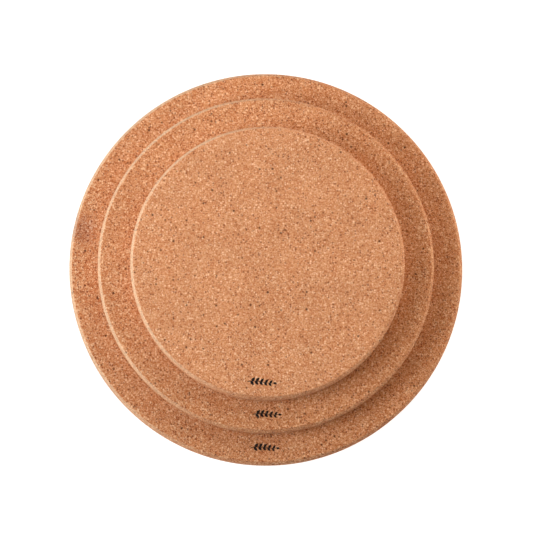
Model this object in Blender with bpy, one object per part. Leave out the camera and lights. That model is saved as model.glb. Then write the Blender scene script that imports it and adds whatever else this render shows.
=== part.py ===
"""A set of three round cork boards in graded sizes, stacked with the largest at the bottom.

Each board is one disc pressed from cork granules, turned to a circle, with a flat steep chamfer
round its upper face and a small rounding round its lower face. The boards are loose: they lie
on each other face to face, share one vertical axis and lift straight off.

Units are metres. +Z is up, and the origin is the middle of the large board's underside.
"""

import math

import bmesh
import bpy

# Driving dimensions.
LARGE_DIAMETER = 0.290
MEDIUM_DIAMETER = 0.246
SMALL_DIAMETER = 0.199
BOARD_THICKNESS = 0.020
CHAMFER_WIDTH = 0.0021
CHAMFER_HEIGHT = 0.0034
BOTTOM_RIM_RADIUS = 0.0012

# Air left between two boards that lie on each other.
STACK_GAP = 0.0003

# Facets round the circle, and steps across the rounding.
CIRCLE_SEGMENTS = 128
BOTTOM_RIM_STEPS = 3

# Faces that meet at more than this angle keep a crisp edge between them.
SHARP_ANGLE = math.radians(35)

# Pressed cork: warm brown, dull, not metallic.
CORK_ROUGHNESS = 0.90
CORK_METALLIC = 0.0

# Name, diameter and linear base colour of each board, from the bottom of the stack upwards.
BOARDS = (
    ("large_board", LARGE_DIAMETER, (0.520, 0.232, 0.110)),
    ("medium_board", MEDIUM_DIAMETER, (0.530, 0.236, 0.112)),
    ("small_board", SMALL_DIAMETER, (0.540, 0.242, 0.116)),
)


def clear_scene():
    """Remove whatever the open file holds, so that the set is all there is."""
    for old_object in list(bpy.data.objects):
        bpy.data.objects.remove(old_object, do_unlink=True)


def cork_material(name, base_color):
    """Dull brown cork for one board."""
    material = bpy.data.materials.new(name + "_cork")
    material.use_nodes = True
    shader = material.node_tree.nodes["Principled BSDF"]
    shader.inputs["Base Color"].default_value = (*base_color, 1.0)
    shader.inputs["Roughness"].default_value = CORK_ROUGHNESS
    shader.inputs["Metallic"].default_value = CORK_METALLIC
    material.diffuse_color = (*base_color, 1.0)
    return material


def board_section(radius):
    """Radius and height of each ring of points round a board, from its underside upwards."""
    middle = radius - BOTTOM_RIM_RADIUS
    section = []
    for step in range(BOTTOM_RIM_STEPS + 1):
        angle = math.pi / 2 * step / BOTTOM_RIM_STEPS
        out = BOTTOM_RIM_RADIUS * math.sin(angle)
        up = BOTTOM_RIM_RADIUS * (1 - math.cos(angle))
        section.append((middle + out, up))
    section.append((radius, BOARD_THICKNESS - CHAMFER_HEIGHT))
    section.append((radius - CHAMFER_WIDTH, BOARD_THICKNESS))
    return section


def add_ring(bm, radius, height):
    """One ring of points round the Z axis."""
    ring = []
    for place in range(CIRCLE_SEGMENTS):
        angle = math.tau * place / CIRCLE_SEGMENTS
        ring.append(bm.verts.new((radius * math.cos(angle), radius * math.sin(angle), height)))
    return ring


def board_mesh(name, diameter):
    """One solid turned disc, its underside at z = 0."""
    bm = bmesh.new()
    rings = [add_ring(bm, radius, height) for radius, height in board_section(diameter / 2)]
    bm.faces.new(reversed(rings[0]))
    bm.faces.new(rings[-1])
    for lower, upper in zip(rings, rings[1:]):
        for place in range(CIRCLE_SEGMENTS):
            after = (place + 1) % CIRCLE_SEGMENTS
            bm.faces.new((lower[place], lower[after], upper[after], upper[place]))
    mesh = bpy.data.meshes.new(name)
    bm.to_mesh(mesh)
    bm.free()
    mesh.shade_smooth()
    mesh.set_sharp_from_angle(angle=SHARP_ANGLE)
    return mesh


def add_board(name, diameter, base_color, height, stack):
    """Lay one board on the stack, its underside at the given height."""
    board = bpy.data.objects.new(name, board_mesh(name, diameter))
    board.data.materials.append(cork_material(name, base_color))
    board.parent = stack
    board.location = (0.0, 0.0, height)
    bpy.context.scene.collection.objects.link(board)
    return board


def build_board_set():
    """Stack the boards on one axis, each a hair's breadth above the one below it."""
    stack = bpy.data.objects.new("board_stack", None)
    bpy.context.scene.collection.objects.link(stack)
    for level, (name, diameter, base_color) in enumerate(BOARDS):
        height = level * (BOARD_THICKNESS + STACK_GAP)
        add_board(name, diameter, base_color, height, stack)


clear_scene()
build_board_set()
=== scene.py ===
"""Looks for the round cork board set: three discs of pressed cork, stacked largest at the bottom.

The frame gives every board's place and size. Each board is rebuilt here as a dense turned mesh
whose surface has real granule relief and pits, and wears a procedural cork material with the
same pits, darkened by painted shade, and a smoother chamfer made paler by a painted highlight on
the side that faces the light. A plain leafy sprig is printed near the edge of each board.

Lengths are in metres. The nodes that make the cork work in millimetres.
"""

import math

import bmesh
import bpy
import numpy as np
from mathutils import Matrix, Vector
from mathutils.bvhtree import BVHTree


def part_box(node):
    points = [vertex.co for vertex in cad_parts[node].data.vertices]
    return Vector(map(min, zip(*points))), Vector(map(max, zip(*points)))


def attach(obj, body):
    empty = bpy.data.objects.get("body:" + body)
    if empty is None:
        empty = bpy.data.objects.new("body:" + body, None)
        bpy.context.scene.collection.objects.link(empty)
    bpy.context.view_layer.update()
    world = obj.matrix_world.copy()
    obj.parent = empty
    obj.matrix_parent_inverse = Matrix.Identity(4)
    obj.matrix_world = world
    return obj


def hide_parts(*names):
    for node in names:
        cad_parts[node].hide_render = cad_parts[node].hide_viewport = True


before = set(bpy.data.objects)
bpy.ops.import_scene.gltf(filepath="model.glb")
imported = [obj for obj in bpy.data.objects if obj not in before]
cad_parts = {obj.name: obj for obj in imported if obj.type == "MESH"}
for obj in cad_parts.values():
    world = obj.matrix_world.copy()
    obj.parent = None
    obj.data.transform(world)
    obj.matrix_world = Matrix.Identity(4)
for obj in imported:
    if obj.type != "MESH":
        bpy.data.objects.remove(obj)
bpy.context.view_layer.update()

MM = 0.001


# ---------------------------------------------------------------------------------------------
# Node helpers
# ---------------------------------------------------------------------------------------------

class NodeMaker:
    """Adds nodes to a shader or geometry tree. An input is a number, a tuple or an output."""

    def __init__(self, tree):
        self.tree = tree

    def add(self, kind, inputs=None, **settings):
        """One node with its settings and its inputs, keyed by socket name or number."""
        node = self.tree.nodes.new(kind)
        for name, value in settings.items():
            setattr(node, name, value)
        for key, value in (inputs or {}).items():
            self.feed(node.inputs[key], value)
        return node

    def feed(self, socket, value):
        """Link an output to a socket, or set the socket's own value."""
        if isinstance(value, bpy.types.NodeSocket):
            self.tree.links.new(value, socket)
        else:
            socket.default_value = value

    def math(self, operation, *values, clamp=False):
        """A Math node's result."""
        inputs = dict(enumerate(values))
        node = self.add("ShaderNodeMath", inputs, operation=operation, use_clamp=clamp)
        return node.outputs[0]

    def vector(self, operation, *values):
        """A Vector Math node's vector result."""
        node = self.add("ShaderNodeVectorMath", dict(enumerate(values)), operation=operation)
        return node.outputs[0]

    def scaled(self, vector, factor):
        """A vector times a number."""
        node = self.add("ShaderNodeVectorMath", {0: vector}, operation="SCALE")
        self.feed(node.inputs["Scale"], factor)
        return node.outputs[0]

    def ramp_between(self, value, low, high, out_low=0.0, out_high=1.0):
        """A value eased from one range to another, and held at the ends."""
        node = self.add(
            "ShaderNodeMapRange",
            {0: value, 1: low, 2: high, 3: out_low, 4: out_high},
            interpolation_type="SMOOTHSTEP",
        )
        return node.outputs[0]

    def noise(self, position, size_mm, detail=2.0, roughness=0.5):
        """A Noise Texture whose features are about size_mm wide."""
        return self.add(
            "ShaderNodeTexNoise",
            {"Vector": position, "Scale": 1 / size_mm, "Detail": detail, "Roughness": roughness},
            noise_dimensions="3D",
        )

    def voronoi(self, position, size_mm, feature="F1"):
        """A Voronoi Texture whose cells are about size_mm wide."""
        return self.add(
            "ShaderNodeTexVoronoi",
            {"Vector": position, "Scale": 1 / size_mm},
            voronoi_dimensions="3D",
            feature=feature,
        )

    def parts(self, vector):
        """The three numbers of a vector or a colour."""
        return self.add("ShaderNodeSeparateXYZ", {0: vector}).outputs

    def mixed(self, share, first, second):
        """Two colours mixed by a share of the second."""
        node = self.add("ShaderNodeMix", data_type="RGBA")
        colors = [socket for socket in node.inputs if socket.type == "RGBA"]
        self.feed(node.inputs[0], share)
        self.feed(colors[0], first)
        self.feed(colors[1], second)
        return next(socket for socket in node.outputs if socket.type == "RGBA")


def new_material(name):
    """An empty material, its node maker and its shader."""
    material = bpy.data.materials.new(name)
    material.use_nodes = True
    tree = material.node_tree
    return material, NodeMaker(tree), tree.nodes["Principled BSDF"]


# ---------------------------------------------------------------------------------------------
# The cork's pattern, in millimetres, shared by the relief of the mesh and by the material
# ---------------------------------------------------------------------------------------------

GRAIN_SIZE = 0.95
FINE_GRAIN_SIZE = 0.42

# Scattered spots: the cell that may hold one, the share of cells that do, and their radii. They
# fade over the outer part of their radius, by the share called the edge.
PIT_CELL, PIT_SHARE = 3.1, 0.135
PIT_SMALLEST, PIT_LARGEST = 0.40, 1.10
SPECK_CELL, SPECK_SHARE = 1.8, 0.37
SPECK_SMALLEST, SPECK_LARGEST = 0.35, 0.95
FLECK_CELL, FLECK_SHARE = 1.5, 0.27
FLECK_SMALLEST, FLECK_LARGEST = 0.40, 0.90
SPOT_EDGE = 0.6

# Size of the noise that makes outlines uneven, and how far it pushes them.
PIT_WARP = (0.9, 0.22)
GRAIN_WARP = (0.8, 0.30)


def warped(make, position, size_mm, reach_mm):
    """The position, pushed about by a noise so that cells get uneven outlines."""
    noise = make.noise(position, size_mm, detail=1.0)
    push = make.vector("SUBTRACT", noise.outputs["Color"], (0.5, 0.5, 0.5))
    return make.vector("ADD", position, make.scaled(push, 2 * reach_mm))


def scattered_spots(make, position, cell_mm, share, smallest_mm, largest_mm):
    """1 in the middle of scattered round spots, easing to 0 at their edges."""
    cells = make.voronoi(position, cell_mm)
    chance, size, _ = make.parts(cells.outputs["Color"])
    present = make.math("LESS_THAN", chance, share)
    radius = make.ramp_between(size, 0.0, 1.0, smallest_mm, largest_mm)
    distance = make.math("MULTIPLY", cells.outputs["Distance"], cell_mm)
    inside = make.math("SUBTRACT", 1.0, make.math("DIVIDE", distance, radius), clamp=True)
    return make.math("MULTIPLY", make.ramp_between(inside, 0.0, SPOT_EDGE), present)


def cork_pits(make, position):
    """Small holes where a granule has dropped out or a bark pore shows."""
    uneven = warped(make, position, *PIT_WARP)
    return scattered_spots(make, uneven, PIT_CELL, PIT_SHARE, PIT_SMALLEST, PIT_LARGEST)


# ---------------------------------------------------------------------------------------------
# Turned meshes
# ---------------------------------------------------------------------------------------------

# Rims: a flat chamfer above with softened corners, and a small rounding below.
CHAMFER_WIDTH = 2.1 * MM
CHAMFER_HEIGHT = 3.4 * MM
TOP_SOFTENING = 0.90 * MM
BOTTOM_RIM_RADIUS = 1.2 * MM
CORNER_STEPS = 8

# Distances between the mesh's points, where a surface is seen in the stack and where it is not.
FINE_SPACING = {"large_board": 0.70 * MM, "medium_board": 0.66 * MM, "small_board": 0.76 * MM}
WALL_SPACING = 0.95 * MM
HIDDEN_SPACING = 2.2 * MM
SPACING_BLEND = 6 * MM

# Shares of the spacing: how far a point may stray, how far one ring lies from the next, and
# how near the last ring may come to the middle of the underside.
POINT_JITTER = 0.16
RING_STEP = math.sqrt(3) / 2
LAST_RING_GAP = 0.6
FEWEST_RING_POINTS = 6


def rounded_corner(before, corner, after, radius):
    """Points of an arc that replaces the corner between two straight lines."""
    corner = Vector(corner)
    back = (Vector(before) - corner).normalized()
    ahead = (Vector(after) - corner).normalized()
    half = back.angle(ahead) / 2
    middle = corner + (back + ahead).normalized() * (radius / math.sin(half))
    reach = radius / math.tan(half)
    first, last = corner + back * reach - middle, corner + ahead * reach - middle
    shares = [step / CORNER_STEPS for step in range(CORNER_STEPS + 1)]
    return [middle + first.slerp(last, share).normalized() * radius for share in shares]


class BoardProfile:
    """Half of a board's section, walked from the middle of its top to the middle of its base."""

    def __init__(self, radius, thickness, base_height):
        self.thickness, self.base_height = thickness, base_height
        corners = [
            (0.0, thickness),
            (radius - CHAMFER_WIDTH, thickness),
            (radius, thickness - CHAMFER_HEIGHT),
            (radius, 0.0),
            (0.0, 0.0),
        ]
        softening = (TOP_SOFTENING, TOP_SOFTENING, BOTTOM_RIM_RADIUS)
        line = [Vector(corners[0])]
        marks = []
        for place, bend in enumerate(softening, start=1):
            line += rounded_corner(*corners[place - 1:place + 2], bend)
            marks.append(len(line) - 1)
        line.append(Vector(corners[-1]))
        self.line = np.array([tuple(point) for point in line])
        strides = np.hypot(*np.diff(self.line, axis=0).T)
        self.walked = np.concatenate([[0.0], np.cumsum(strides)])
        self.length = self.walked[-1]
        self.wall_start, self.base_start = self.walked[marks[1]], self.walked[marks[2]]

    def at(self, walked):
        """Radius and height of the points that far along the section."""
        radius = np.interp(walked, self.walked, self.line[:, 0])
        height = np.interp(walked, self.walked, self.line[:, 1])
        return radius, height + self.base_height


def point_spacing(profile, walked, fine, covered_radius):
    """How far apart points are at one place: fine on what shows, coarse on what is covered."""
    knots = [
        covered_radius - SPACING_BLEND,
        covered_radius,
        profile.wall_start,
        (profile.wall_start + profile.base_start) / 2,
        profile.base_start,
        profile.base_start + 2 * SPACING_BLEND,
    ]
    sizes = [HIDDEN_SPACING, fine, fine, WALL_SPACING, WALL_SPACING, HIDDEN_SPACING]
    if covered_radius <= 0:
        knots, sizes = knots[2:], sizes[2:]
    return float(np.interp(walked, knots, sizes))


def ring_plan(profile, fine, covered_radius):
    """Each ring's place along the section, its number of points and their spacing."""
    rings = []
    walked = 0.0
    while True:
        spacing = point_spacing(profile, walked, fine, covered_radius)
        walked += spacing * RING_STEP
        if walked > profile.length - spacing * LAST_RING_GAP:
            return rings
        radius = float(profile.at(walked)[0])
        count = max(FEWEST_RING_POINTS, round(2 * math.pi * radius / spacing))
        rings.append((walked, count, spacing))


def zip_rings(inner_start, inner_count, outer_start, outer_count, inner_turn, outer_turn):
    """Triangles between two neighbouring rings that may have different numbers of points."""
    inner, outer = np.arange(inner_count), np.arange(outer_count)
    inner_mid = ((inner + 0.5) / inner_count + inner_turn) % 1.0
    outer_mid = ((outer + 0.5) / outer_count + outer_turn) % 1.0
    facing_outer = np.floor((inner_mid - outer_turn) * outer_count + 0.5).astype(int) % outer_count
    facing_inner = np.floor((outer_mid - inner_turn) * inner_count + 0.5).astype(int) % inner_count
    from_inner = np.stack([
        inner_start + inner,
        outer_start + facing_outer,
        inner_start + (inner + 1) % inner_count,
    ], axis=1)
    from_outer = np.stack([
        outer_start + outer,
        outer_start + (outer + 1) % outer_count,
        inner_start + facing_inner,
    ], axis=1)
    return np.concatenate([from_inner, from_outer])


def cap_faces(tip, ring_start, ring_count):
    """Triangles between the middle point of a face and the ring round it, seen from above."""
    here = np.arange(ring_count)
    after = (here + 1) % ring_count
    return np.stack([np.full_like(here, tip), ring_start + here, ring_start + after], axis=1)


def turned_mesh(name, profile, fine, covered_radius, rng):
    """A closed mesh of near-even triangles over a turned section."""
    rings = ring_plan(profile, fine, covered_radius)
    points = [np.array([[0.0, 0.0, profile.base_height + profile.thickness]])]
    starts, turns = [], []
    total = 1
    for walked, count, spacing in rings:
        turn = rng.random() / count
        jitter = (rng.random((2, count)) - 0.5) * 2 * POINT_JITTER
        angle = 2 * math.pi * ((np.arange(count) + jitter[0]) / count + turn)
        radius, height = profile.at(walked + jitter[1] * spacing)
        points.append(np.stack([radius * np.cos(angle), radius * np.sin(angle), height], axis=1))
        starts.append(total)
        turns.append(turn)
        total += count
    points.append(np.array([[0.0, 0.0, profile.base_height]]))

    faces = [cap_faces(0, starts[0], rings[0][1])]
    for ring in range(len(rings) - 1):
        faces.append(zip_rings(
            starts[ring], rings[ring][1], starts[ring + 1], rings[ring + 1][1],
            turns[ring], turns[ring + 1],
        ))
    faces.append(cap_faces(total, starts[-1], rings[-1][1])[:, [0, 2, 1]])

    mesh = bpy.data.meshes.new(name)
    mesh.from_pydata(np.concatenate(points).tolist(), [], np.concatenate(faces).tolist())
    mesh.shade_smooth()
    mesh.update()
    return mesh


# ---------------------------------------------------------------------------------------------
# Relief pressed into the mesh, in millimetres
# ---------------------------------------------------------------------------------------------

GRAIN_RELIEF = 0.10
SWAY_SIZE, SWAY_RELIEF = 18.0, 0.05
PIT_DEPTH = 0.55


def relief_nodes():
    """Geometry nodes that keep each point's smooth place and then press the cork's relief in."""
    tree = bpy.data.node_groups.new("cork_relief", "GeometryNodeTree")
    tree.interface.new_socket("Geometry", in_out="INPUT", socket_type="NodeSocketGeometry")
    tree.interface.new_socket("Geometry", in_out="OUTPUT", socket_type="NodeSocketGeometry")
    make = NodeMaker(tree)
    source = make.add("NodeGroupInput")
    place = make.add("GeometryNodeInputPosition").outputs[0]
    normal = make.add("GeometryNodeInputNormal").outputs[0]
    position = make.scaled(place, 1 / MM)

    kept = make.add(
        "GeometryNodeStoreNamedAttribute",
        {"Geometry": source.outputs[0], "Name": "cork_place", "Value": place},
        data_type="FLOAT_VECTOR",
        domain="POINT",
    )
    grain = make.noise(position, 2 * GRAIN_SIZE, detail=3.0, roughness=0.7).outputs[0]
    sway = make.noise(position, SWAY_SIZE, detail=1.0).outputs[0]
    depth = make.math("MULTIPLY", cork_pits(make, position), PIT_DEPTH)
    depth = make.math("ADD", depth, make.math("MULTIPLY", grain, GRAIN_RELIEF))
    depth = make.math("ADD", depth, make.math("MULTIPLY", sway, SWAY_RELIEF))
    offset = make.scaled(normal, make.math("MULTIPLY", depth, -MM))
    moved = make.add(
        "GeometryNodeSetPosition",
        {"Geometry": kept.outputs[0], "Offset": offset},
    )
    make.add("NodeGroupOutput", {0: moved.outputs[0]})
    return tree


def press_in(board, tree):
    """Apply the relief to a board's mesh, so that the mesh itself has the shape."""
    board.modifiers.new("relief", "NODES").node_group = tree
    bpy.context.view_layer.update()
    depsgraph = bpy.context.evaluated_depsgraph_get()
    shaped = bpy.data.meshes.new_from_object(
        board.evaluated_get(depsgraph), preserve_all_data_layers=True, depsgraph=depsgraph
    )
    board.modifiers.clear()
    smooth = board.data
    shaped.name = smooth.name
    board.data = shaped
    bpy.data.meshes.remove(smooth)


# ---------------------------------------------------------------------------------------------
# Cork material. Colours are linear and sizes are in millimetres. A ramp has the lowest and the
# highest value that go in, and the values that come out for them.
# ---------------------------------------------------------------------------------------------

# The granules' colours, from the darkest bark to the palest cork.
GRAIN_COLORS = (
    (0.00, (0.372, 0.090, 0.025)),
    (0.20, (0.510, 0.162, 0.053)),
    (0.50, (0.608, 0.243, 0.094)),
    (0.80, (0.688, 0.329, 0.150)),
    (1.00, (0.768, 0.446, 0.264)),
)

# The tone picks the granule's colour. It is a sum of coarse granules, fine ones and a mottle,
# and the middle of its range is stretched over all the colours.
GRAIN_WEIGHT, FINE_GRAIN_WEIGHT, MOTTLE_WEIGHT = 0.32, 0.56, 0.12
MOTTLE_SIZE = 0.55
TONE_SPREAD = 0.46

# Spots over the granules: pale flecks, dark bark specks, and pits, whose dark colour is painted
# shade in the holes. A bolder board has more of the first two, by these powers of its boldness.
# The flecks are moved away from the specks.
FLECK_COLOR = (0.860, 0.530, 0.310, 1.0)
SPECK_COLOR = (0.220, 0.050, 0.016, 1.0)
PIT_SHADE_COLOR = (0.120, 0.038, 0.017, 1.0)
SPOT_COVER = 0.90
FLECK_POWER, SPECK_POWER = 0.6, 2.2
FLECKS_MOVED = (31.0, 17.0, 5.0)

# Darker seams between granules, and a slow drift of brightness over the whole board.
SEAM_RAMP = (0.0, 0.09, 0.82, 1.0)
DRIFT_SIZE = 22.0
DRIFT_RAMP = (0.3, 0.7, 0.965, 1.03)

# The chamfer: smoother all round, and paler on the side that faces the light, which is a painted
# highlight. The blends are measured from the chamfer's inner edge outwards, and from its foot
# upwards. The painted highlight grows between two distances from the axis, in board radii,
# towards the lit side.
RIM_HIGHLIGHT_COLOR = (0.640, 0.410, 0.248)
RIM_HIGHLIGHT_TONE_RAMP = (0.1, 0.9, 0.74, 1.26)
RIM_HIGHLIGHT_SHARE = 0.78
RIM_SMOOTHING = -0.28
RIM_EDGE_BLEND = (-0.15, 0.35)
RIM_FOOT_BLEND = (-0.6, 0.4)
RIM_LIT_SIDE = (-0.97, 0.24)
RIM_LIT_FROM, RIM_LIT_TO = -0.1, 0.8

# Surface: dull all over, and dullest in the pits.
ROUGHNESS_RAMP = (0.2, 1.2, 0.78, 0.98)
CORK_SPECULAR = 0.28

# Heights of the finest relief, as shares of the bump distance.
BUMP_DISTANCE = 1.6
SEAM_BUMP_RAMP = (0.0, 0.16, 0.0, 0.045)
GRAIN_BUMP = 0.050
MOTTLE_BUMP = 0.060
SWELL_SIZE, SWELL_BUMP = 1.7, 0.30
PIT_BUMP = 0.25

# Size of the waves in a stain's outline, and the share of its reach that is fully stained.
STAIN_WAVE_SIZE = 4.0
STAIN_CORE = 0.25


def granule_color(make, tone):
    """The colour of a granule of that tone."""
    ramp = make.add("ShaderNodeValToRGB", {0: tone})
    stops = ramp.color_ramp.elements
    while len(stops) < len(GRAIN_COLORS):
        stops.new(0.5)
    for stop, (where, color) in zip(stops, GRAIN_COLORS):
        stop.position = where
        stop.color = (*color, 1.0)
    return ramp.outputs[0]


def spotted(make, color, uneven, pits, boldness):
    """The colour with flecks, specks, and the painted shade of pits over it."""
    flecks = scattered_spots(
        make, make.vector("ADD", uneven, FLECKS_MOVED), FLECK_CELL,
        FLECK_SHARE * boldness ** FLECK_POWER, FLECK_SMALLEST, FLECK_LARGEST * boldness,
    )
    specks = scattered_spots(
        make, uneven, SPECK_CELL,
        SPECK_SHARE * boldness ** SPECK_POWER, SPECK_SMALLEST, SPECK_LARGEST,
    )
    # The pits' dark colour is painted shade in the holes.
    for spots, spot_color in ((flecks, FLECK_COLOR), (specks, SPECK_COLOR), (pits, PIT_SHADE_COLOR)):
        color = make.mixed(make.math("MULTIPLY", spots, SPOT_COVER), color, spot_color)
    return color


def chamfer_and_highlight_masks(make, position, radius_mm, top_mm):
    """1 on the chamfer, and the share of painted highlight on the side of the board that faces the
    light.
    """
    x, y, z = make.parts(position)
    from_axis = make.math("SQRT", make.math("MULTIPLY_ADD", x, x, make.math("MULTIPLY", y, y)))
    edge = radius_mm - CHAMFER_WIDTH / MM
    foot = top_mm - CHAMFER_HEIGHT / MM
    chamfer_band = make.math(
        "MULTIPLY",
        make.ramp_between(from_axis, *(edge + blend for blend in RIM_EDGE_BLEND)),
        make.ramp_between(z, *(foot + blend for blend in RIM_FOOT_BLEND)),
    )
    towards_light = make.math(
        "MULTIPLY_ADD", x, RIM_LIT_SIDE[0], make.math("MULTIPLY", y, RIM_LIT_SIDE[1])
    )
    lit_side = make.ramp_between(
        towards_light, RIM_LIT_FROM * radius_mm, RIM_LIT_TO * radius_mm, 0.0, RIM_HIGHLIGHT_SHARE
    )
    return chamfer_band, lit_side


def stained(make, color, position, middle_mm, size_mm, tint):
    """The colour with one soft discoloured patch."""
    apart = make.vector("SUBTRACT", position, middle_mm)
    noise = make.noise(position, STAIN_WAVE_SIZE, detail=2.0).outputs[0]
    reach = make.add("ShaderNodeVectorMath", {0: apart}, operation="LENGTH").outputs["Value"]
    reach = make.math("MULTIPLY_ADD", make.math("SUBTRACT", noise, 0.5), size_mm, reach)
    share = make.ramp_between(reach, STAIN_CORE * size_mm, size_mm, 1.0, 0.0)
    return make.mixed(share, color, make.vector("MULTIPLY", color, tint))


def cork_bump(make, uneven, seams, grain_height, mottle, pits):
    """The normal of the finest relief."""
    height = make.ramp_between(seams, *SEAM_BUMP_RAMP)
    height = make.math("MULTIPLY_ADD", grain_height, GRAIN_BUMP, height)
    height = make.math("MULTIPLY_ADD", mottle, MOTTLE_BUMP, height)
    swell = make.noise(uneven, SWELL_SIZE, detail=1.0).outputs[0]
    height = make.math("MULTIPLY_ADD", swell, SWELL_BUMP, height)
    height = make.math("SUBTRACT", height, make.math("MULTIPLY", pits, PIT_BUMP))
    inputs = {"Height": height, "Distance": BUMP_DISTANCE * MM, "Strength": 1.0}
    return make.add("ShaderNodeBump", inputs).outputs[0]


def cork_material(name, radius_mm, top_mm, tint, boldness, stain=None):
    """Pressed cork: granules, flecks, bark specks, pits darkened by painted shade, a smoother
    chamfer, and a painted highlight on the chamfer's lit side.
    """
    material, make, shader = new_material(name)
    place = make.add("ShaderNodeAttribute", attribute_name="cork_place").outputs["Vector"]
    position = make.scaled(place, 1 / MM)
    uneven = warped(make, position, *GRAIN_WARP)
    grains = make.voronoi(uneven, GRAIN_SIZE)
    grain_tone, grain_height, _ = make.parts(grains.outputs["Color"])
    fine_tone = make.parts(make.voronoi(uneven, FINE_GRAIN_SIZE).outputs["Color"])[0]
    mottle = make.noise(position, MOTTLE_SIZE, detail=3.0, roughness=0.65).outputs[0]
    seams = make.voronoi(uneven, GRAIN_SIZE, feature="DISTANCE_TO_EDGE").outputs["Distance"]
    pits = cork_pits(make, position)

    tone = make.math("MULTIPLY", fine_tone, FINE_GRAIN_WEIGHT)
    tone = make.math("MULTIPLY_ADD", grain_tone, GRAIN_WEIGHT, tone)
    tone = make.math("MULTIPLY_ADD", mottle, MOTTLE_WEIGHT, tone)
    spread = TONE_SPREAD / boldness
    tone = make.ramp_between(tone, 0.5 - spread, 0.5 + spread)
    color = spotted(make, granule_color(make, tone), uneven, pits, boldness)

    seam = make.ramp_between(seams, *SEAM_RAMP)
    drift = make.noise(position, DRIFT_SIZE, detail=2.0).outputs[0]
    drift = make.ramp_between(drift, *DRIFT_RAMP)
    # The tint is painted light and shade: the top board is made paler and cooler than the lower
    # ones.
    shade = make.scaled(tint, make.math("MULTIPLY", seam, drift))
    color = make.vector("MULTIPLY", color, shade)

    chamfer_band, lit_side = chamfer_and_highlight_masks(make, position, radius_mm, top_mm)
    rim_highlight = make.scaled(RIM_HIGHLIGHT_COLOR, make.ramp_between(tone, *RIM_HIGHLIGHT_TONE_RAMP))
    # Painted highlight: the chamfer is made paler on the side that faces the light.
    color = make.mixed(make.math("MULTIPLY", chamfer_band, lit_side), color, rim_highlight)
    if stain is not None:
        color = stained(make, color, position, *stain)
    make.feed(shader.inputs["Base Color"], color)

    rough = make.ramp_between(make.math("ADD", mottle, pits), *ROUGHNESS_RAMP)
    rough = make.math("MULTIPLY_ADD", chamfer_band, RIM_SMOOTHING, rough)
    make.feed(shader.inputs["Roughness"], rough)
    shader.inputs["Specular IOR Level"].default_value = CORK_SPECULAR
    normal = cork_bump(make, uneven, seams, grain_height, mottle, pits)
    make.feed(shader.inputs["Normal"], normal)
    return material


# ---------------------------------------------------------------------------------------------
# Boards
# ---------------------------------------------------------------------------------------------

# How far each board was laid off the stack's axis.
BOARD_SHIFTS = {
    "large_board": (0.0, 0.0, 0.0),
    "medium_board": (-0.6 * MM, 0.4 * MM, 0.0),
    "small_board": (0.0, -0.4 * MM, 0.0),
}


def board_size(node):
    """Radius, thickness and base height of a board, from its CAD node."""
    low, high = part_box(node)
    return (high.x - low.x) / 2, high.z - low.z, low.z


def make_board(node, covered_radius, material, relief, seed):
    """The visible board that stands for one CAD node."""
    profile = BoardProfile(*board_size(node))
    rng = np.random.default_rng(seed)
    mesh = turned_mesh(node + "_cork", profile, FINE_SPACING[node], covered_radius, rng)
    board = bpy.data.objects.new(node + "_cork", mesh)
    bpy.context.scene.collection.objects.link(board)
    press_in(board, relief)
    board.data.materials.append(material)
    board.location = BOARD_SHIFTS[node]
    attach(board, node)
    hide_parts(node)
    return board


# ---------------------------------------------------------------------------------------------
# The printed sprig
# ---------------------------------------------------------------------------------------------

# How far each sprig is turned round its board's axis, and how far its middle is from the edge.
SPRIG_TURNS = {"large_board": -0.1, "medium_board": 0.6, "small_board": -2.4}
SPRIG_FROM_EDGE = {
    "large_board": 12.6 * MM,
    "medium_board": 13.4 * MM,
    "small_board": 12.5 * MM,
}

# The stem is bowed, ends under the last leaf, and narrows from its root by these shares.
SPRIG_LENGTH = 22 * MM
STEM_WIDTH = 0.50 * MM
STEM_BOW = 0.5 * MM
STEM_END = 0.86
STEM_ROOT, STEM_NARROWING = 1.2, 0.6
STEM_STEPS = 60

# Leaves stand in pairs along the stem, the two of a pair a little apart, with one at the tip.
LEAF_PAIRS = 5
LEAF_LENGTH = 3.8 * MM
LEAF_WIDTH = 2.1 * MM
LEAF_LEAN = math.radians(48)
LEAF_TAPER = 0.25
FIRST_LEAF, LEAF_STRIDE, LEAF_STAGGER, TIP_LEAF = 0.10, 0.15, 0.03, 0.84
LEAF_FULLNESS, LEAF_BLUNTNESS = 0.8, 0.04
LEAF_STEPS, LEAF_ROWS = 10, 4

# The film of ink, and the height above the board from which the sprig is dropped on it.
INK_LIFT = 0.03 * MM
INK_THICKNESS = 0.06 * MM
DROP_HEIGHT = 5 * MM

INK_BLACK = (0.007, 0.006, 0.006, 1.0)
INK_WORN = (0.030, 0.020, 0.015, 1.0)
INK_BLOTCH_SIZE = 0.6
INK_WEAR_RAMP = (0.35, 0.75, 0.0, 1.0)
INK_ROUGHNESS_RAMP = (0.3, 0.7, 0.65, 0.85)
INK_SPECULAR = 0.12
INK_BUMP = 0.03


def ink_material():
    """Matt black printing ink with a faint unevenness."""
    material, make, shader = new_material("print_ink")
    place = make.add("ShaderNodeTexCoord").outputs["Object"]
    blotch = make.noise(make.scaled(place, 1 / MM), INK_BLOTCH_SIZE, detail=3.0).outputs[0]
    color = make.mixed(make.ramp_between(blotch, *INK_WEAR_RAMP), INK_BLACK, INK_WORN)
    rough = make.ramp_between(blotch, *INK_ROUGHNESS_RAMP)
    make.feed(shader.inputs["Base Color"], color)
    make.feed(shader.inputs["Roughness"], rough)
    shader.inputs["Specular IOR Level"].default_value = INK_SPECULAR
    inputs = {"Height": blotch, "Distance": INK_BUMP * MM, "Strength": 1.0}
    make.feed(shader.inputs["Normal"], make.add("ShaderNodeBump", inputs).outputs[0])
    return material


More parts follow.
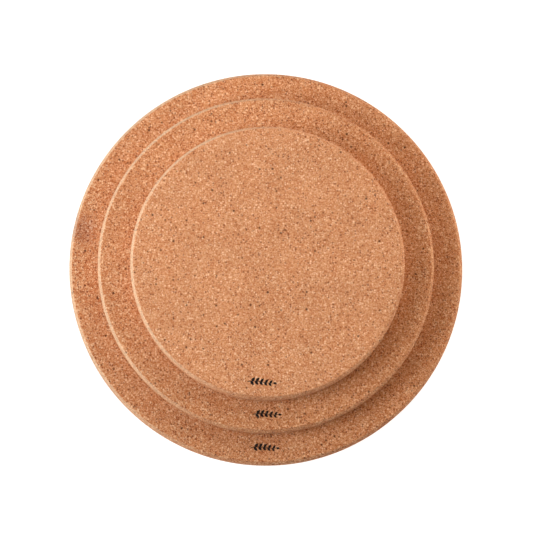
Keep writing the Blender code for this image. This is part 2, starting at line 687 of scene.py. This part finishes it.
def leaf_grid(bm, foot, direction, size):
    """A pointed leaf as a small grid of faces in the plane."""
    along, across = Vector(direction), Vector((-direction[1], direction[0]))
    length, width = LEAF_LENGTH * size, LEAF_WIDTH * size
    rows = []
    for step in range(LEAF_STEPS + 1):
        share = step / LEAF_STEPS
        fullness = max(math.sin(math.pi * share ** LEAF_FULLNESS), LEAF_BLUNTNESS)
        half = width / 2 * fullness
        middle = foot + along * length * share
        rows.append([
            bm.verts.new((*(middle + across * half * (2 * row / LEAF_ROWS - 1)), 0.0))
            for row in range(LEAF_ROWS + 1)
        ])
    for near, far in zip(rows, rows[1:]):
        for row in range(LEAF_ROWS):
            bm.faces.new((near[row], far[row], far[row + 1], near[row + 1]))


def stem_point(share):
    """A point on the sprig's gently bowed stem."""
    x = (share - 0.5) * SPRIG_LENGTH
    return Vector((x, STEM_BOW * math.sin(2 * math.pi * share)))


def sprig_mesh(name):
    """The flat sprig: a bowed stem, leaves in pairs and one at the tip."""
    bm = bmesh.new()
    edges = []
    for step in range(STEM_STEPS + 1):
        share = step / STEM_STEPS * STEM_END
        middle = stem_point(share)
        half = STEM_WIDTH / 2 * (STEM_ROOT - STEM_NARROWING * share)
        edges.append([
            bm.verts.new((middle.x, middle.y + side * half, 0.0)) for side in (-1, 1)
        ])
    for near, far in zip(edges, edges[1:]):
        bm.faces.new((near[0], far[0], far[1], near[1]))
    for pair in range(LEAF_PAIRS):
        share = FIRST_LEAF + LEAF_STRIDE * pair
        size = 1 - LEAF_TAPER * pair / LEAF_PAIRS
        for side in (-1, 1):
            foot = stem_point(share + (LEAF_STAGGER if side > 0 else 0.0))
            heading = (math.cos(LEAF_LEAN), side * math.sin(LEAF_LEAN))
            leaf_grid(bm, foot, heading, size)
    leaf_grid(bm, stem_point(TIP_LEAF), (1.0, 0.0), 1 - LEAF_TAPER)
    mesh = bpy.data.meshes.new(name)
    bm.to_mesh(mesh)
    bm.free()
    return mesh


def print_sprig(board, node, material):
    """Lay the sprig on a board's upper face, following its relief."""
    radius, thickness, base_height = board_size(node)
    mesh = sprig_mesh(node + "_print")
    mesh.transform(Matrix.Translation((0, -(radius - SPRIG_FROM_EDGE[node]), 0)))
    mesh.transform(Matrix.Rotation(math.radians(SPRIG_TURNS[node]), 4, "Z"))
    surface = BVHTree.FromPolygons(
        [vert.co for vert in board.data.vertices],
        [tuple(face.vertices) for face in board.data.polygons],
    )
    for vert in mesh.vertices:
        start = Vector((vert.co.x, vert.co.y, base_height + thickness + DROP_HEIGHT))
        hit = surface.ray_cast(start, Vector((0, 0, -1)))[0]
        vert.co.z = hit.z + INK_LIFT
    piece = bpy.data.objects.new(node + "_print", mesh)
    bpy.context.scene.collection.objects.link(piece)
    mesh.materials.append(material)
    film = piece.modifiers.new("film", "SOLIDIFY")
    film.thickness = INK_THICKNESS
    film.offset = -1
    piece.location = BOARD_SHIFTS[node]
    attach(piece, node)


# ---------------------------------------------------------------------------------------------
# Stage
# ---------------------------------------------------------------------------------------------

# A pale floor that lies a hair below the stack. It glows, so that it stays even and white.
FLOOR_REACH = 15.0
FLOOR_DROP = 0.4 * MM
FLOOR_COLOR = (0.25, 0.25, 0.25, 1.0)
FLOOR_ROUGHNESS = 0.9
FLOOR_SPECULAR = 0.1
FLOOR_GLOW_COLOR = (1.00, 0.98, 0.95, 1.0)
FLOOR_GLOW = 0.98

# Soft lights: name, compass place and height in degrees, distance, width and height in
# metres, power in watts, and colour. The left side is lit cooler than the right.
COOL = (0.96, 1.00, 1.04)
WARM = (1.03, 0.95, 0.84)
SOFTBOXES = (
    ("key_left", 193, 44, 1.3, 0.72, 0.58, 11.8, COOL),
    ("right", 8, 37, 1.4, 0.77, 0.63, 3.5, WARM),
    ("back_right", 60, 50, 1.2, 0.66, 0.54, 2.3, WARM),
    ("back", 90, 40, 1.0, 0.55, 0.45, 1.1, COOL),
    ("back_left", 122, 38, 1.0, 0.55, 0.45, 2.0, COOL),
    ("low_left", 155, 26, 1.0, 0.55, 0.45, 1.4, COOL),
    ("rim_left", 196, 9, 1.2, 1.10, 0.30, 4.6, COOL),
    ("rim_right", 16, 10, 1.2, 0.95, 0.30, 7.2, WARM),
)
WORLD_COLOR = (1.00, 0.86, 0.68, 1.0)
WORLD_STRENGTH = 0.12

# Camera: its distance from the point it looks at, its lean from straight above, the side it
# leans to, and how wide the picture is at that point.
CAMERA_DISTANCE = 2.2
CAMERA_LEAN = math.radians(6.5)
CAMERA_SIDE = math.radians(-14)
CAMERA_AIM = (0.0007, 0.0030, 0.0)
FRAME_WIDTH = 0.3960
SENSOR_WIDTH = 36.0


def add_floor():
    """A wide pale floor just under the stack."""
    bm = bmesh.new()
    bmesh.ops.create_grid(bm, x_segments=2, y_segments=2, size=FLOOR_REACH)
    mesh = bpy.data.meshes.new("studio_floor")
    bm.to_mesh(mesh)
    bm.free()
    floor = bpy.data.objects.new("studio_floor", mesh)
    floor.location.z = -FLOOR_DROP
    bpy.context.scene.collection.objects.link(floor)
    material, _, shader = new_material("studio_floor")
    shader.inputs["Base Color"].default_value = FLOOR_COLOR
    shader.inputs["Roughness"].default_value = FLOOR_ROUGHNESS
    shader.inputs["Specular IOR Level"].default_value = FLOOR_SPECULAR
    shader.inputs["Emission Color"].default_value = FLOOR_GLOW_COLOR
    shader.inputs["Emission Strength"].default_value = FLOOR_GLOW
    mesh.materials.append(material)
    floor.visible_glossy = False


def direction_to(azimuth, elevation):
    """Unit vector towards a compass place: azimuth 0 is +X and 90 is +Y, in degrees."""
    azimuth, elevation = math.radians(azimuth), math.radians(elevation)
    return Vector((
        math.cos(azimuth) * math.cos(elevation),
        math.sin(azimuth) * math.cos(elevation),
        math.sin(elevation),
    ))


def add_softbox(name, azimuth, elevation, distance, width, height, power, color):
    """A rectangular soft light that faces the stack."""
    light = bpy.data.lights.new(name, "AREA")
    light.shape = "RECTANGLE"
    light.size, light.size_y = width, height
    light.energy = power
    light.color = color
    lamp = bpy.data.objects.new(name, light)
    towards = direction_to(azimuth, elevation)
    lamp.location = towards * distance
    lamp.rotation_mode = "QUATERNION"
    lamp.rotation_quaternion = towards.to_track_quat("Z", "Y")
    lamp.visible_camera = False
    bpy.context.scene.collection.objects.link(lamp)


def light_stage():
    """A large key from the left, weaker light from the right and behind, and a faint world."""
    for softbox in SOFTBOXES:
        add_softbox(*softbox)
    world = bpy.data.worlds.new("studio")
    world.use_nodes = True
    background = world.node_tree.nodes["Background"]
    background.inputs["Color"].default_value = WORLD_COLOR
    background.inputs["Strength"].default_value = WORLD_STRENGTH
    bpy.context.scene.world = world
    bpy.context.scene.view_settings.view_transform = "Standard"


def add_camera():
    """A long lens almost straight above, leaning a little to the front and the left."""
    back = Vector((
        math.sin(CAMERA_SIDE) * math.sin(CAMERA_LEAN),
        -math.cos(CAMERA_SIDE) * math.sin(CAMERA_LEAN),
        math.cos(CAMERA_LEAN),
    ))
    up = (Vector((0, 1, 0)) - back * back.y).normalized()
    turn = Matrix((up.cross(back), up, back)).transposed()
    camera = bpy.data.cameras.new("camera")
    camera.sensor_width = SENSOR_WIDTH
    camera.lens = SENSOR_WIDTH * CAMERA_DISTANCE / FRAME_WIDTH
    camera.clip_start, camera.clip_end = 0.05, 50
    body = bpy.data.objects.new("camera", camera)
    place = Vector(CAMERA_AIM) + back * CAMERA_DISTANCE
    body.matrix_world = Matrix.Translation(place) @ turn.to_4x4()
    bpy.context.scene.collection.objects.link(body)
    bpy.context.scene.camera = body


# ---------------------------------------------------------------------------------------------
# Everything together
# ---------------------------------------------------------------------------------------------

# A faint purplish patch on the large board's left rim: its middle and reach in millimetres,
# and its tint.
STAIN = ((-134.5, 28.0, 20.0), 15.0, (0.80, 0.77, 0.85))

# Each board with the one that lies on it, its tint, how bold its pattern is, and its stain. The
# tints are painted light and shade: they make the top board paler and cooler than the lower
# boards, which are the same cork.
BOARDS = (
    ("large_board", "medium_board", (1.023, 1.016, 0.998), 1.24, STAIN),
    ("medium_board", "small_board", (1.025, 1.024, 1.003), 1.24, None),
    ("small_board", None, (1.095, 1.146, 1.228), 1.00, None),
)

# How far the fine mesh reaches in under the board above.
COVER_MARGIN = 5 * MM


def build_set():
    """Every board with its printed sprig."""
    relief = relief_nodes()
    ink = ink_material()
    for seed, (node, above, tint, boldness, stain) in enumerate(BOARDS):
        covered = board_size(above)[0] - COVER_MARGIN if above else 0.0
        radius, thickness, base_height = board_size(node)
        top_mm = (base_height + thickness) / MM
        material = cork_material(node + "_cork", radius / MM, top_mm, tint, boldness, stain)
        board = make_board(node, covered, material, relief, seed)
        print_sprig(board, node, ink)


build_set()
add_floor()
light_stage()
add_camera()
